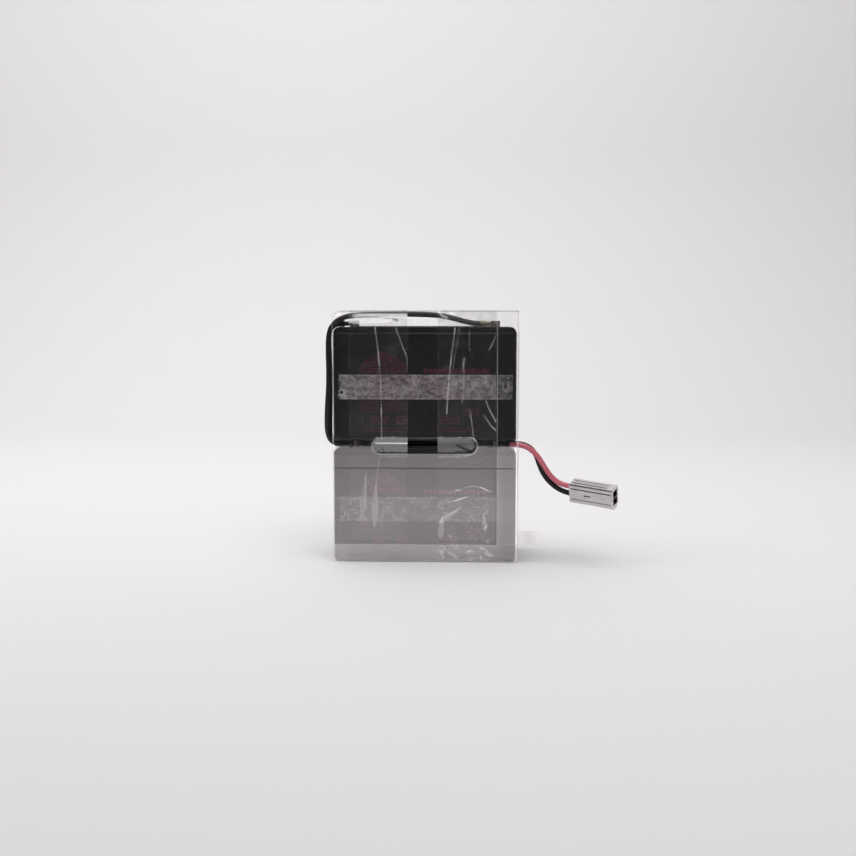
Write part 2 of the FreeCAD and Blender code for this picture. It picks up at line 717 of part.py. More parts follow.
def sheet_wrap():
    """The sleeve's upright panels: an overlap flap, the right end, the back, the left end and the front."""
    right_edge = half_length + right_clearance - panel_slit
    points = [
        (sheet_right + sheet_thickness / 2 - flap_width, sheet_flap), (sheet_right, sheet_flap),
        (sheet_right, sheet_back), (sheet_left, sheet_back), (sheet_left, sheet_front), (right_edge, sheet_front),
    ]
    bottom = sheet_thickness + panel_slit
    wrap = folded_upright(points, [sheet_fold_radius] * 4, sheet_thickness, bottom, sheet_top)
    far = 300.0
    low_right = box(right_edge + 0.05, far, -far, far, -far, tongue_height + sheet_fold_radius)
    low_flap = box(-far, far, -far, sheet_flap + sheet_thickness / 2 + flap_clearance / 2, -far,
                   lip_height + panel_slit)
    fold_foot = box(-far, far, sheet_back - sheet_thickness, far, -far, sheet_bottom + sheet_fold_radius)
    shoulder_x = sheet_left - sheet_thickness / 2 + sheet_shoulder_radius
    shoulder_z = sheet_top + sheet_thickness / 2 - sheet_shoulder_radius
    shoulder = box(-far, shoulder_x, -far, far, shoulder_z, far)
    drum = Part.makeCylinder(sheet_shoulder_radius, 2 * far, Vector(shoulder_x, -far, shoulder_z), Vector(0, 1, 0))
    return wrap.cut(fused([low_right, low_flap, fold_foot])).cut(shoulder.cut(drum))


def sheet_top_panel():
    """The top panel, which bends over the left end with a large radius."""
    reach = sheet_top - 3 * sheet_shoulder_radius
    points = [(sheet_left, reach), (sheet_left, sheet_top), (half_length + right_clearance - panel_slit, sheet_top)]
    inner = sheet_thickness / 2 + panel_slit
    radius = sheet_shoulder_radius - sheet_thickness / 2
    return folded_across(points, [radius], sheet_thickness, sheet_front + inner, sheet_back - inner)


def sheet_bottom_panel():
    """The bottom panel, which bends up at the back, and up in front as a lip outside the front panel."""
    points = [
        (sheet_back, 3 * lip_height), (sheet_back, sheet_bottom),
        (sheet_lip, sheet_bottom), (sheet_lip, lip_height),
    ]
    return folded_along(points, [sheet_fold_radius] * 2, sheet_thickness, sheet_left + sheet_fold_radius,
                        sheet_right - sheet_fold_radius)


def sheet_tongue():
    """The pull tongue, bent out of the foot of the right end panel, with round corners."""
    points = [(sheet_right, 3 * tongue_height), (sheet_right, tongue_height), (tongue_tip, tongue_height)]
    tongue = folded_across(points, [sheet_fold_radius], sheet_thickness, sheet_front + sheet_fold_radius,
                           sheet_back - sheet_fold_radius)
    corners = [
        e for e in tongue.Edges
        if e.BoundBox.XMin > tongue_tip - 0.01 and e.BoundBox.ZLength > sheet_thickness / 2
    ]
    return tongue.makeFillet(tongue_corner, corners)


def make_sleeve():
    """The clear sleeve: one folded sheet with finger slots in front and on top, and holes for the leads."""
    sleeve = fused([sheet_wrap(), sheet_top_panel(), sheet_bottom_panel(), sheet_tongue()])
    front_slot = slot_cutter(finger_slot_length, finger_slot_height, 6 * sheet_thickness)
    front_slot.translate(Vector(0, sheet_front, gap_middle - finger_slot_drop))
    top_slot = slot_cutter(finger_slot_length, finger_slot_height, 6 * sheet_thickness)
    top_slot.rotate(Vector(0, 0, 0), Vector(1, 0, 0), 90)
    top_slot.translate(Vector(0, top_slot_back, sheet_top))
    hole_y = -half_depth + lead_hole_middle
    side_hole = slot_cutter(lead_hole_width, lead_hole_height, 6 * sheet_thickness)
    side_hole.rotate(Vector(0, 0, 0), Vector(0, 0, 1), 90)
    left_hole = side_hole.copy()
    left_hole.translate(Vector(sheet_left, hole_y, gap_middle + left_hole_rise))
    right_hole = side_hole.copy()
    right_hole.translate(Vector(sheet_right, hole_y, gap_middle))
    shoulder_hole = rounded_block(shoulder_hole_reach + 2 * sheet_shoulder_radius, lead_hole_width,
                                  2 * shoulder_hole_drop, lead_hole_corner,
                                  (sheet_left, hole_y), sheet_top - shoulder_hole_drop)
    return sleeve.cut(fused([front_slot, top_slot, left_hole, right_hole])).cut(shoulder_hole)


def make_tape(x0, x1):
    """A band of clear tape up the front over the lip, across the top and down the back."""
    gap = sheet_thickness / 2 + tape_clearance + tape_thickness / 2
    front = sheet_front - gap
    lip = sheet_lip - gap
    back = sheet_back + gap
    top = sheet_top + gap
    points = [
        (lip, tape_foot), (lip, lip_height + tape_step), (front, lip_height + 2 * tape_step),
        (front, top), (back, top), (back, tape_foot),
    ]
    radii = [tape_step / 2, tape_step / 2, tape_corner, tape_corner]
    return folded_along(points, radii, tape_thickness, x0, x1)


def make_strip(floor):
    """A strip of adhesive tape between a battery's front face and the sleeve."""
    middle = floor + battery_height / 2 - strip_above_middle
    front = -half_depth - strip_clearance - strip_thickness
    return box(-strip_length / 2, strip_length / 2, front, front + strip_thickness,
               middle - strip_width / 2, middle + strip_width / 2)


def shifted(shape, x, y, z):
    """A copy of a shape moved by x, y and z."""
    copy = shape.copy()
    copy.translate(Vector(x, y, z))
    return copy


def main():
    """Makes every piece, moves them so that the origin is the pack's bottom centre, and writes them."""
    pieces = {}
    left_tab, right_tab = terminal_places()
    battery = {
        "case": make_case(),
        "lid": make_lid(),
        "vent_cover": make_vent_cover(),
        "valve_caps": make_valve_caps(),
        "plate_packs": make_plate_packs(),
        "cell_straps": make_straps(),
        "negative_terminal": make_terminal(left_tab),
        "positive_terminal": make_terminal(right_tab),
        "negative_seal": make_seal(left_tab),
        "positive_seal": make_seal(right_tab),
    }
    for place, floor in (("lower", lower_floor), ("upper", upper_floor)):
        for name, shape in battery.items():
            pieces[place + "_" + name] = shifted(shape, 0, 0, floor)
    inward, outward = make_receptacle(-1), make_receptacle(1)
    pieces["upper_negative_receptacle"] = shifted(inward, left_tab, tab_y, upper_floor)
    pieces["upper_positive_receptacle"] = shifted(inward, right_tab, tab_y, upper_floor)
    pieces["lower_negative_receptacle"] = shifted(inward, left_tab, tab_y, lower_floor)
    pieces["lower_positive_receptacle"] = shifted(outward, right_tab, tab_y, lower_floor)
    pieces["link_lead"] = lead_tube("link_lead", link_route)
    pieces["negative_lead"] = lead_tube("negative_lead", negative_route)
    pieces["positive_lead"] = lead_tube("positive_lead", positive_route)
    pieces["plug_housing"] = make_plug_housing()
    pieces["plug_contacts"] = make_plug_contacts()
    pieces["clear_sleeve"] = make_sleeve()
    tape_left = tape_left_end - half_length
    tape_right = half_length - tape_right_end
    pieces["left_tape_band"] = make_tape(tape_left, tape_left + tape_width)
    pieces["right_tape_band"] = make_tape(tape_right - tape_width, tape_right)
    pieces["upper_adhesive_strip"] = make_strip(upper_floor)
    pieces["lower_adhesive_strip"] = make_strip(lower_floor)

    held = [shape.BoundBox for name, shape in pieces.items()
            if name not in ("negative_lead", "positive_lead", "plug_housing", "plug_contacts")]
    middle_x = (min(b.XMin for b in held) + max(b.XMax for b in held)) / 2
    middle_y = (min(b.YMin for b in held) + max(b.YMax for b in held)) / 2
    bottom = min(b.ZMin for b in held)
    print("the origin is at x %.3f, y %.3f, z %.3f of the stack" % (middle_x, middle_y, bottom))

    os.makedirs("parts", exist_ok=True)
    for name, shape in pieces.items():
        shape = shifted(shape, -middle_x, -middle_y, -bottom)
        shape.exportStep("parts/" + name + ".step")
        solids = len(shape.Solids)
        print(name, "solids", solids, "valid", shape.isValid(), "volume %.1f" % shape.Volume)


main()
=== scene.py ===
import math

import bpy
import numpy as np
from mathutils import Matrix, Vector


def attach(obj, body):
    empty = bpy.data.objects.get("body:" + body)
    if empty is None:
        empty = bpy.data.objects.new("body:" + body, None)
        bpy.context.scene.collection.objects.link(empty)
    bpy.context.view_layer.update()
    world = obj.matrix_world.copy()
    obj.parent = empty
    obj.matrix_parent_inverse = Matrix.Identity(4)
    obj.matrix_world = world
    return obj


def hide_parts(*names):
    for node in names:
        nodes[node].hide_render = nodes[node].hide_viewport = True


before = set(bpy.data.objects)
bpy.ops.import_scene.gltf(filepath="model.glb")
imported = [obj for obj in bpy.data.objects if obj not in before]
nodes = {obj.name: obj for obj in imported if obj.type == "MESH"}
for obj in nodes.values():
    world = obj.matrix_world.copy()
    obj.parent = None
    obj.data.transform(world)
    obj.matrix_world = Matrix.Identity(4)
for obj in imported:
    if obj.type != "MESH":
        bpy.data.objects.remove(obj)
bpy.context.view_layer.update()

MILLIMETRES = 1000.0

# Sizes in millimetres about the middle of the battery stack, as the construction has them
STACK_MIDDLE = np.array([6.820, -0.325, 0.0])
BATTERY_FRONT, BATTERY_PITCH = -32.5, 99.9
TAPE_LIP, TAPE_FRONT, TAPE_BACK, TAPE_TOP = -34.2, -33.55, 33.55, 208.45
TAPE_FOOT, LIP_HEIGHT, TAPE_STEP, TAPE_BEND = 1.5, 14.8, 1.6, 0.4
TAPE_WIDTH, TAPE_COLUMNS = 48.0, 121
LEFT_TAPE, RIGHT_TAPE = -62.1, 10.9
SLOT_HALF_LENGTH, SLOT_HALF_HEIGHT, SLOT_MIDDLE = 43.0, 6.5, 97.0
SLOT_REACH = 10.5  # the tape's grid is finer this far above and below the slot's middle
FRONT_SIDE, BACK_SIDE = -30, 30  # film beyond these y belongs to the front or the back panel
UPPER_STRIP_MIDDLE, LOWER_STRIP_MIDDLE = 145.6, 44.25
STRIP_HALF_LENGTH, STRIP_HALF_WIDTH, STRIP_GAP = 72.5, 10.2, 0.2
STRIP_COLUMNS, STRIP_ROWS = 241, 41
FLAP_EDGE = (58.9, 59.3)
PRINT_GAP = 0.04
LEAD_SIZE = 4.4
PLUG_PLACE = (122.5, -24.0, 59.8)
PLUG_YAW, PLUG_DIP, PLUG_ROLL = 28.0, 5.0, 20.0

# The photograph's pixels: how many make a millimetre on the front panel, and where the stack's middle and foot are
PHOTO_SCALE, PHOTO_MIDDLE, PHOTO_FOOT = 1.205, 425.0, 562.5

# The photograph's viewpoint, in stack millimetres and degrees
CAMERA_PLACE, CAMERA_LENS, CAMERA_SENSOR = (40.6, -993.8, 197.4), 49.285, 36.0
CAMERA_PITCH, CAMERA_YAW = 5.08, -2.25


def place(points):
    """Points in stack millimetres, as row-frame metres."""
    return (np.asarray(points, dtype=float) - STACK_MIDDLE) / MILLIMETRES


def mesh_object(name, points, faces, attributes=None):
    """A mesh object with its place in its vertices, and float attributes on its points."""
    mesh = bpy.data.meshes.new(name)
    mesh.from_pydata([tuple(p) for p in place(points)], [], [tuple(f) for f in faces])
    for key, values in (attributes or {}).items():
        layer = mesh.attributes.new(key, "FLOAT", "POINT")
        layer.data.foreach_set("value", np.asarray(values, dtype=np.float32).ravel())
    mesh.update()
    obj = bpy.data.objects.new(name, mesh)
    bpy.context.scene.collection.objects.link(obj)
    return obj


def grid_faces(rows, columns):
    """Quads of a rows x columns grid of points."""
    index = np.arange(rows * columns).reshape(rows, columns)
    return np.stack([index[:-1, :-1], index[:-1, 1:], index[1:, 1:], index[1:, :-1]], axis=-1).reshape(-1, 4)


def smooth(obj):
    """Smooth shading on every face."""
    obj.data.polygons.foreach_set("use_smooth", [True] * len(obj.data.polygons))
    return obj


def wave_noise(x, z, scale, seed, count=14):
    """Smooth noise: the mean of sin(k . (x, z) + phase) over random directions with wavelengths near scale."""
    rng = np.random.default_rng(seed)
    total = np.zeros_like(x, dtype=float)
    for _ in range(count):
        angle = rng.uniform(0, 2 * math.pi)
        wave = 2 * math.pi / (scale * rng.uniform(0.6, 1.8))
        total += np.sin(wave * (math.cos(angle) * x + math.sin(angle) * z) + rng.uniform(0, 2 * math.pi))
    return total / math.sqrt(count)


def line_distance(x, z, line):
    """Distance from each (x, z) to a polyline: the least distance to a + t (b - a) with t held in 0..1."""
    best = np.full(x.shape, 1e9)
    for (ax, az), (bx, bz) in zip(line, line[1:]):
        dx, dz = bx - ax, bz - az
        t = np.clip(((x - ax) * dx + (z - az) * dz) / (dx * dx + dz * dz + 1e-9), 0, 1)
        best = np.minimum(best, np.hypot(x - ax - t * dx, z - az - t * dz))
    return best


def bump(distance, width):
    """A bell, exp(-(distance / width)^2)."""
    return np.exp(-(distance / width) ** 2)


def step(value, low, high):
    """0 below low, 1 above high and 3t^2 - 2t^3 between."""
    t = np.clip((value - low) / (high - low), 0, 1)
    return t * t * (3 - 2 * t)


# Materials

NODE_SETTINGS = ("operation", "data_type", "attribute_name")

# In metres: the depth of the grain and of the film's waves, and how far the painted highlight at a bend in the film
# reaches
GRAIN_DEPTH, FILM_WAVE, BEND_HIGHLIGHT_REACH = 0.0001, 0.00002, 0.0006


def new_material(name):
    """An empty node material's add, which makes a node, and finish, which gives the material its surface. A key of
    add is a node setting, the name of an input, or i and an input's number."""
    material = bpy.data.materials.new(name)
    material.use_nodes = True
    tree = material.node_tree
    tree.nodes.clear()
    out = tree.nodes.new("ShaderNodeOutputMaterial")

    def add(kind, **values):
        node = tree.nodes.new(kind)
        for key, value in values.items():
            if key in NODE_SETTINGS:
                setattr(node, key, value)
                continue
            socket = node.inputs[int(key[1:])] if key[0] == "i" and key[1:].isdigit() else node.inputs[key]
            if isinstance(value, bpy.types.NodeSocket):
                tree.links.new(value, socket)
            else:
                socket.default_value = value
        return node

    def finish(shader):
        tree.links.new(shader.outputs[0], out.inputs["Surface"])
        return material

    return add, finish


def combiner(add):
    """A function that adds a maths node on numbers or sockets, and gives its result."""

    def combine(operation, a, b=0.0, c=0.0):
        return add("ShaderNodeMath", operation=operation, i0=a, i1=b, i2=c).outputs[0]

    return combine


def scaled(add, vector, factor):
    """A vector or colour times a number."""
    return add("ShaderNodeVectorMath", operation="SCALE", i0=vector, Scale=factor).outputs[0]


def mixed(add, factor, first, second):
    """A colour between two colours."""
    return add("ShaderNodeMix", data_type="RGBA", Factor=factor, i6=first, i7=second).outputs[2]


def noise(add, position, scale, detail, **values):
    """Noise from 0 to 1 with features of 1 / scale mm."""
    return add("ShaderNodeTexNoise", Vector=position, Scale=scale, Detail=detail, **values).outputs["Fac"]


def attribute(add, name):
    """A float attribute of the points."""
    return add("ShaderNodeAttribute", attribute_name=name).outputs["Fac"]


def object_position(add):
    """Object coordinates in millimetres."""
    return scaled(add, add("ShaderNodeTexCoord").outputs["Object"], MILLIMETRES)


def solid_material(name, colour, roughness, metallic=0.0, ior=1.45, mottle=0.0, grain=0.0, grain_size=0.6,
                   coat=0.0, spot_size=6.0):
    """A plain surface with slow colour and gloss variation and a fine grain."""
    add, finish = new_material(name)
    position = object_position(add)
    slow = noise(add, position, 1.0 / spot_size, 4.0)
    darker = tuple(c * (1 - mottle) for c in colour) + (1,)
    lighter = tuple(min(1, c * (1 + mottle)) for c in colour) + (1,)
    rough = add("ShaderNodeMapRange", Value=slow, **{"To Min": roughness * 0.88, "To Max": min(1, roughness * 1.12)})
    bumps = add("ShaderNodeBump", Strength=grain, Distance=GRAIN_DEPTH,
                Height=noise(add, position, 1.0 / grain_size, 3.0))
    return finish(add("ShaderNodeBsdfPrincipled", **{
        "Base Color": mixed(add, slow, darker, lighter), "Metallic": metallic, "IOR": ior,
        "Roughness": rough.outputs[0], "Normal": bumps.outputs[0], "Coat Weight": coat}))


def film_material(name, reflect, haze, haze_colour, roughness, attributes=False, edge=0.0, marks=()):
    """Clear film: the view through it, plus a mirror image that grows as (1 - cos)^4, plus milky haze, which grows
    as (1 - cos)^14 where the film is seen edge-on, and milk by edge at its bends, a painted highlight. marks are
    (axis, middle, half width, haze, mirror gain) bands in object millimetres, each a bell. Of the points'
    attributes, haze adds milk and painted highlights, shade is painted shade that darkens, and shine is a second
    mirror whose normal is n + 0.45 z, which catches the lights above."""
    add, finish = new_material(name)
    combine = combiner(add)
    position = object_position(add)
    slow = noise(add, position, 0.045, 3.0)
    height = combine("MULTIPLY_ADD", noise(add, position, 0.35, 3.0), 0.12, slow)
    waves = add("ShaderNodeBump", Strength=1.0, Distance=FILM_WAVE, Height=height).outputs[0]
    facing = add("ShaderNodeLayerWeight", Blend=0.5).outputs["Facing"]
    grazing = combine("POWER", facing, 4.0)
    edge_on = combine("POWER", facing, 14.0)
    mirror_part = combine("MULTIPLY_ADD", grazing, 0.5, reflect)
    passed = combine("MULTIPLY_ADD", grazing, -0.6, 0.975)
    passed = combine("MULTIPLY_ADD", edge_on, 0.3, passed)
    total = combine("MULTIPLY_ADD", slow, haze, haze * 0.5)
    parts = add("ShaderNodeSeparateXYZ", Vector=position)
    for axis, middle, half, milky, gain in marks:
        offset = combine("DIVIDE", combine("SUBTRACT", parts.outputs[axis], middle), half)
        squared = combine("POWER", combine("ABSOLUTE", offset), 2.0)
        bell = combine("EXPONENT", combine("MULTIPLY", squared, -1.0))
        total = combine("MULTIPLY_ADD", bell, milky, total)
        mirror_part = combine("MULTIPLY", mirror_part, combine("MULTIPLY_ADD", bell, gain, 1.0))
    total = combine("MULTIPLY_ADD", edge_on, 0.35, total)
    if attributes:
        total = combine("ADD", total, attribute(add, "haze"))
        left_over = combine("SUBTRACT", 1.0, attribute(add, "shade"))
        passed = combine("MULTIPLY", passed, left_over)
        total = combine("MULTIPLY", total, left_over)
        mirror_part = combine("MULTIPLY", mirror_part, left_over)
    # The milk by edge: a painted highlight along the film's bends
    if edge:
        rounded = add("ShaderNodeBevel", Radius=BEND_HIGHLIGHT_REACH).outputs[0]
        flat = add("ShaderNodeNewGeometry").outputs["Normal"]
        dot = add("ShaderNodeVectorMath", operation="DOT_PRODUCT", i0=rounded, i1=flat).outputs["Value"]
        total = combine("MULTIPLY_ADD", combine("SUBTRACT", 1.0, dot), edge, total)
    mirror = add("ShaderNodeBsdfAnisotropic", Roughness=roughness, Normal=waves,
                 Color=scaled(add, (1.0, 0.955, 0.968), mirror_part))
    clear = add("ShaderNodeBsdfTransparent", Color=scaled(add, (1.0, 1.0, 1.0), passed))
    lit = add("ShaderNodeBsdfDiffuse", Color=haze_colour + (1,))
    lit_through = add("ShaderNodeBsdfTranslucent", Color=haze_colour + (1,))
    milk = add("ShaderNodeMixShader", i0=0.4, i1=lit.outputs[0], i2=lit_through.outputs[0])
    body = add("ShaderNodeMixShader", i0=combine("MINIMUM", total, 0.9), i1=clear.outputs[0], i2=milk.outputs[0])
    whole = add("ShaderNodeAddShader", i0=body.outputs[0], i1=mirror.outputs[0])
    if attributes:
        leaned = add("ShaderNodeVectorMath", operation="ADD", i0=waves, i1=(0.0, 0.0, 0.45)).outputs[0]
        upward = add("ShaderNodeVectorMath", operation="NORMALIZE", i0=leaned).outputs[0]
        glint = add("ShaderNodeBsdfAnisotropic", Roughness=0.35, Normal=upward,
                    Color=scaled(add, (1.0, 0.99, 0.995), attribute(add, "shine")))
        whole = add("ShaderNodeAddShader", i0=whole.outputs[0], i1=glint.outputs[0])
    return finish(whole)


def plug_material():
    """Natural nylon with painted shade: near black in the two cavities, in the outer grooves and in lines on the top,
    and slightly dark over all the top. The masks are in the plug's own directions in millimetres, each coordinate
    the dot product of the position with a plug axis."""
    add, finish = new_material("natural_nylon")
    combine = combiner(add)
    position = object_position(add)
    middle = (np.array(PLUG_PLACE) - STACK_MIDDLE).tolist()
    local = add("ShaderNodeVectorMath", operation="SUBTRACT", i0=position, i1=middle).outputs[0]
    along, across, up = [
        add("ShaderNodeVectorMath", operation="DOT_PRODUCT", i0=local, i1=axis).outputs["Value"]
        for axis in plug_axes()
    ]
    off_middle = combine("ABSOLUTE", combine("ADD", along, 0.5))
    off_across, off_up = combine("ABSOLUTE", across), combine("ABSOLUTE", up)
    spots = noise(add, position, 0.25, 4.0)
    wandering = combine("ADD", across, combine("MULTIPLY", combine("SUBTRACT", spots, 0.5), 1.6))

    # The cavities: painted shade, near black
    inside = combine("MULTIPLY", combine("GREATER_THAN", along, 11.0), combine("LESS_THAN", off_across, 4.05))
    inside = combine("MULTIPLY", inside, combine("LESS_THAN", off_up, 6.25))

    # Painted shade in the side grooves, wider and darker above, broken at mid-length, and a dark line between them
    side = combine("GREATER_THAN", off_across, 5.45)
    sunk = combine("LESS_THAN", off_across, 6.25)
    upper_side = combine("GREATER_THAN", up, 0.0)
    off_groove = combine("ABSOLUTE", combine("SUBTRACT", off_up, 4.7))
    groove_shade = combine("LESS_THAN", off_groove, combine("MULTIPLY_ADD", upper_side, 0.45, 0.5))
    groove_shade = combine("MULTIPLY", combine("MULTIPLY", side, sunk), groove_shade)
    groove_shade = combine("MULTIPLY", groove_shade, combine("MULTIPLY_ADD", upper_side, 0.75, 0.3))
    groove_shade = combine("MULTIPLY", groove_shade, combine("GREATER_THAN", off_middle, 0.7))
    window_shade = combine("MULTIPLY", combine("MULTIPLY", side, sunk), combine("LESS_THAN", off_up, 0.75))

    # The top: painted shade, slightly dark all over, with a dark rim and three lines
    on_top = combine("GREATER_THAN", up, 7.6)
    lines = combine("MULTIPLY", on_top, combine("LESS_THAN", wandering, -5.1))
    lines = combine("MULTIPLY", lines, combine("GREATER_THAN", off_middle, 0.8))
    for line_middle, half in ((-2.9, 0.32), (0.2, 0.28), (3.2, 0.25)):
        off_line = combine("ABSOLUTE", combine("SUBTRACT", wandering, line_middle))
        line = combine("MULTIPLY", on_top, combine("LESS_THAN", off_line, half))
        lines = combine("MAXIMUM", lines, combine("MULTIPLY", line, 0.62))
    lines = combine("MULTIPLY", combine("MAXIMUM", groove_shade, lines), 0.85)
    lines = combine("MAXIMUM", lines, combine("MULTIPLY", on_top, 0.2))

    # dark: all the painted shade, which mixes the nylon towards black
    dark = combine("MAXIMUM", combine("MAXIMUM", inside, lines), window_shade)
    body = mixed(add, spots, (0.66, 0.62, 0.62, 1), (0.82, 0.78, 0.78, 1))
    return finish(add("ShaderNodeBsdfPrincipled", **{
        "Base Color": mixed(add, dark, body, (0.012, 0.011, 0.011, 1)), "Roughness": 0.28, "IOR": 1.5,
        "Subsurface Radius": (0.002, 0.0016, 0.0015), "Subsurface Scale": 1.0,
        "Subsurface Weight": combine("MULTIPLY", combine("SUBTRACT", 1.0, dark), 0.15)}))


def plug_axes():
    """The plug's own x, y and z directions: yaw, then dip, then roll, as the construction turns it."""
    yaw, dip, roll = (math.radians(v) for v in (-PLUG_YAW, PLUG_DIP, PLUG_ROLL))
    turn_z = np.array([[math.cos(yaw), -math.sin(yaw), 0], [math.sin(yaw), math.cos(yaw), 0], [0, 0, 1]])
    turn_y = np.array([[math.cos(dip), 0, math.sin(dip)], [0, 1, 0], [-math.sin(dip), 0, math.cos(dip)]])
    turn_x = np.array([[1, 0, 0], [0, math.cos(roll), -math.sin(roll)], [0, math.sin(roll), math.cos(roll)]])
    return (turn_z @ turn_y @ turn_x).T.tolist()


black_plastic = solid_material("black_plastic", (0.0085, 0.0076, 0.0082), 0.31, ior=1.42, mottle=0.15, grain=0.15,
                               grain_size=0.5)
cap_rubber = solid_material("cap_rubber", (0.02, 0.02, 0.02), 0.8, grain=0.5)
plate_lead = solid_material("plate_lead", (0.16, 0.16, 0.17), 0.7, mottle=0.2, grain=0.6)
strap_lead = solid_material("strap_lead", (0.3, 0.31, 0.33), 0.45, metallic=0.8, mottle=0.15, grain=0.5)
tinned_tab = solid_material("tinned_tab", (0.62, 0.61, 0.58), 0.3, metallic=1.0, mottle=0.08, grain=0.2)
# A darker copy of the tinned tab: painted shade for the lower battery's tabs in the gap between the batteries
tab_painted_shade = solid_material("tab_painted_shade", (0.16, 0.16, 0.155), 0.4, metallic=1.0, mottle=0.08, grain=0.2)
black_resin = solid_material("black_resin", (0.015, 0.015, 0.017), 0.2, mottle=0.1)
red_resin = solid_material("red_resin", (0.3, 0.015, 0.015), 0.22, mottle=0.1)
brass = solid_material("brass_receptacle", (0.22, 0.20, 0.12), 0.4, metallic=1.0, mottle=0.15, grain=0.4)
# A darker copy of the brass: painted shade for the receptacles in the gap and for the upper negative one
brass_painted_shade = solid_material("brass_painted_shade", (0.035, 0.028, 0.02), 0.5, metallic=0.9, mottle=0.2, grain=0.4)
brass_contact = solid_material("brass_contact", (0.10, 0.075, 0.035), 0.4, metallic=1.0, mottle=0.12, grain=0.3)
black_vinyl = solid_material("black_vinyl", (0.009, 0.009, 0.01), 0.38, mottle=0.1, grain=0.25)
red_vinyl = solid_material("red_vinyl", (0.66, 0.15, 0.20), 0.3, mottle=0.08, grain=0.2, coat=0.35)
nylon = plug_material()
print_red = solid_material("print_red", (0.075, 0.009, 0.02), 0.6, mottle=0.5, spot_size=1.5)
# The lower battery's print: the same red, painted lighter and pinker as a painted reflection veiling it
print_red_painted_veil = solid_material("print_red_painted_veil", (0.10, 0.022, 0.038), 0.6, mottle=0.5, spot_size=1.5)
film = film_material("clear_film", 0.125, 0.004, (0.84, 0.83, 0.84), 0.02, edge=1.6, marks=(
    # Painted shade along the lower lid's seam and the slot's lower edge, and a painted highlight in the pale line
    (2, 78.4, 0.5, 0.0, -0.7),  # the lower lid's seam
    (2, 87.9, 0.3, 0.02, 0.25),  # a pale line under the slot
    (2, 90.6, 0.3, 0.0, -0.3),  # the slot's lower edge
    (0, 61.5, 11.0, 0.0, -0.28),  # the overlap flap
    (0, 81.5, 9.5, 0.0, -0.36),  # the tongue
    (2, 6.0, 8.0, 0.004, -0.1),  # the lip
    (2, 208.3, 1.2, 0.0, -0.8),  # the top panel
))
tape = film_material("clear_tape", 0.03, 0.008, (0.86, 0.83, 0.84), 0.03, attributes=True)

finish_of = {
    "case": black_plastic, "lid": black_plastic, "vent_cover": black_plastic, "valve_caps": cap_rubber,
    "plate_packs": plate_lead, "cell_straps": strap_lead, "negative_terminal": tinned_tab,
    "positive_terminal": tinned_tab, "negative_seal": black_resin, "positive_seal": red_resin,
    "negative_receptacle": brass, "positive_receptacle": brass,
}
finishes = {"link_lead": black_vinyl, "plug_housing": nylon, "plug_contacts": brass_contact, "clear_sleeve": film}
for half in ("lower", "upper"):
    for name, finish in finish_of.items():
        finishes[half + "_" + name] = finish
# Painted shade: the tabs and receptacles between the batteries, and the upper negative receptacle, take darker copies
finishes["lower_negative_receptacle"] = finishes["lower_positive_receptacle"] = brass_painted_shade
finishes["upper_negative_receptacle"] = brass_painted_shade
finishes["lower_negative_terminal"] = finishes["lower_positive_terminal"] = tab_painted_shade
for name, finish in finishes.items():
    nodes[name].data.materials.clear()
    nodes[name].data.materials.append(finish)


# Creases and bubbles in the tape and the film: (line in stack x and z, height in mm, half width, whiteness)
# # The whiteness is a painted highlight.

def seen(*pixels):
    """Points of the front panel from the places where the photograph shows them."""
    return [((x - PHOTO_MIDDLE) / PHOTO_SCALE, (PHOTO_FOOT - y) / PHOTO_SCALE) for x, y in pixels]


creases = [
    (seen((376, 328), (379, 351), (381, 376), (382, 405), (382, 438)), 0.25, 0.7, 0.32),
    (seen((381, 454), (378, 470), (376, 489)), 0.25, 0.7, 0.3),
    (seen((396, 328), (402, 343), (408, 359), (408.5, 371)), 0.2, 0.6, 0.3),
    (seen((455, 329), (453, 345), (450, 369), (448, 392), (447, 413)), 0.2, 0.75, 0.34),
    (seen((459, 329), (456, 350), (453, 369)), 0.15, 0.5, 0.14),
    (seen((469, 332), (469, 351)), 0.15, 0.5, 0.12),
    (seen((464, 359), (463, 368), (464, 378), (462, 402)), 0.15, 1.3, 0.16),
    (seen((470, 411), (472, 424), (474, 439)), 0.18, 0.6, 0.26),
    (seen((486, 401), (489, 409), (494, 418), (501, 428), (509, 440)), 0.2, 0.75, 0.42),
    (seen((484, 415), (490, 424), (496, 430), (501, 440)), 0.15, 0.6, 0.34),
    (seen((367, 472), (365, 489), (364, 497)), 0.2, 0.6, 0.2),
    (seen((433, 501), (453, 501), (477, 494), (484, 499)), 0.12, 0.8, 0.36),
    (seen((464, 506), (450, 514), (440, 520)), 0.25, 1.0, 0.22),
    (seen((423, 488), (437, 491), (452, 492), (463, 488), (473, 485), (484, 488), (495, 494)), 0.12, 0.8, 0.42),
    (seen((427, 502), (444, 504), (462, 498), (477, 492)), 0.12, 0.9, 0.40),
    (seen((480, 486), (488, 490), (494, 489)), 0.1, 0.8, 0.40),
    (seen((474, 541), (480, 533), (487, 526), (490, 519)), 0.1, 0.7, 0.30),
    (seen((455, 489), (470, 492), (482, 497)), 0.1, 0.6, 0.30),
    (seen((385, 500), (398, 503), (410, 501), (420, 505)), 0.06, 0.5, 0.14),
    (seen((340, 527.5), (372, 527), (406, 528.5)), 0.05, 0.4, 0.12),
    (seen((338, 530.5), (380, 531), (404, 530)), 0.05, 0.4, 0.08),
    (seen((340, 456.5), (400, 456), (450, 456.8), (494, 457)), 0.04, 0.45, 0.10),
]
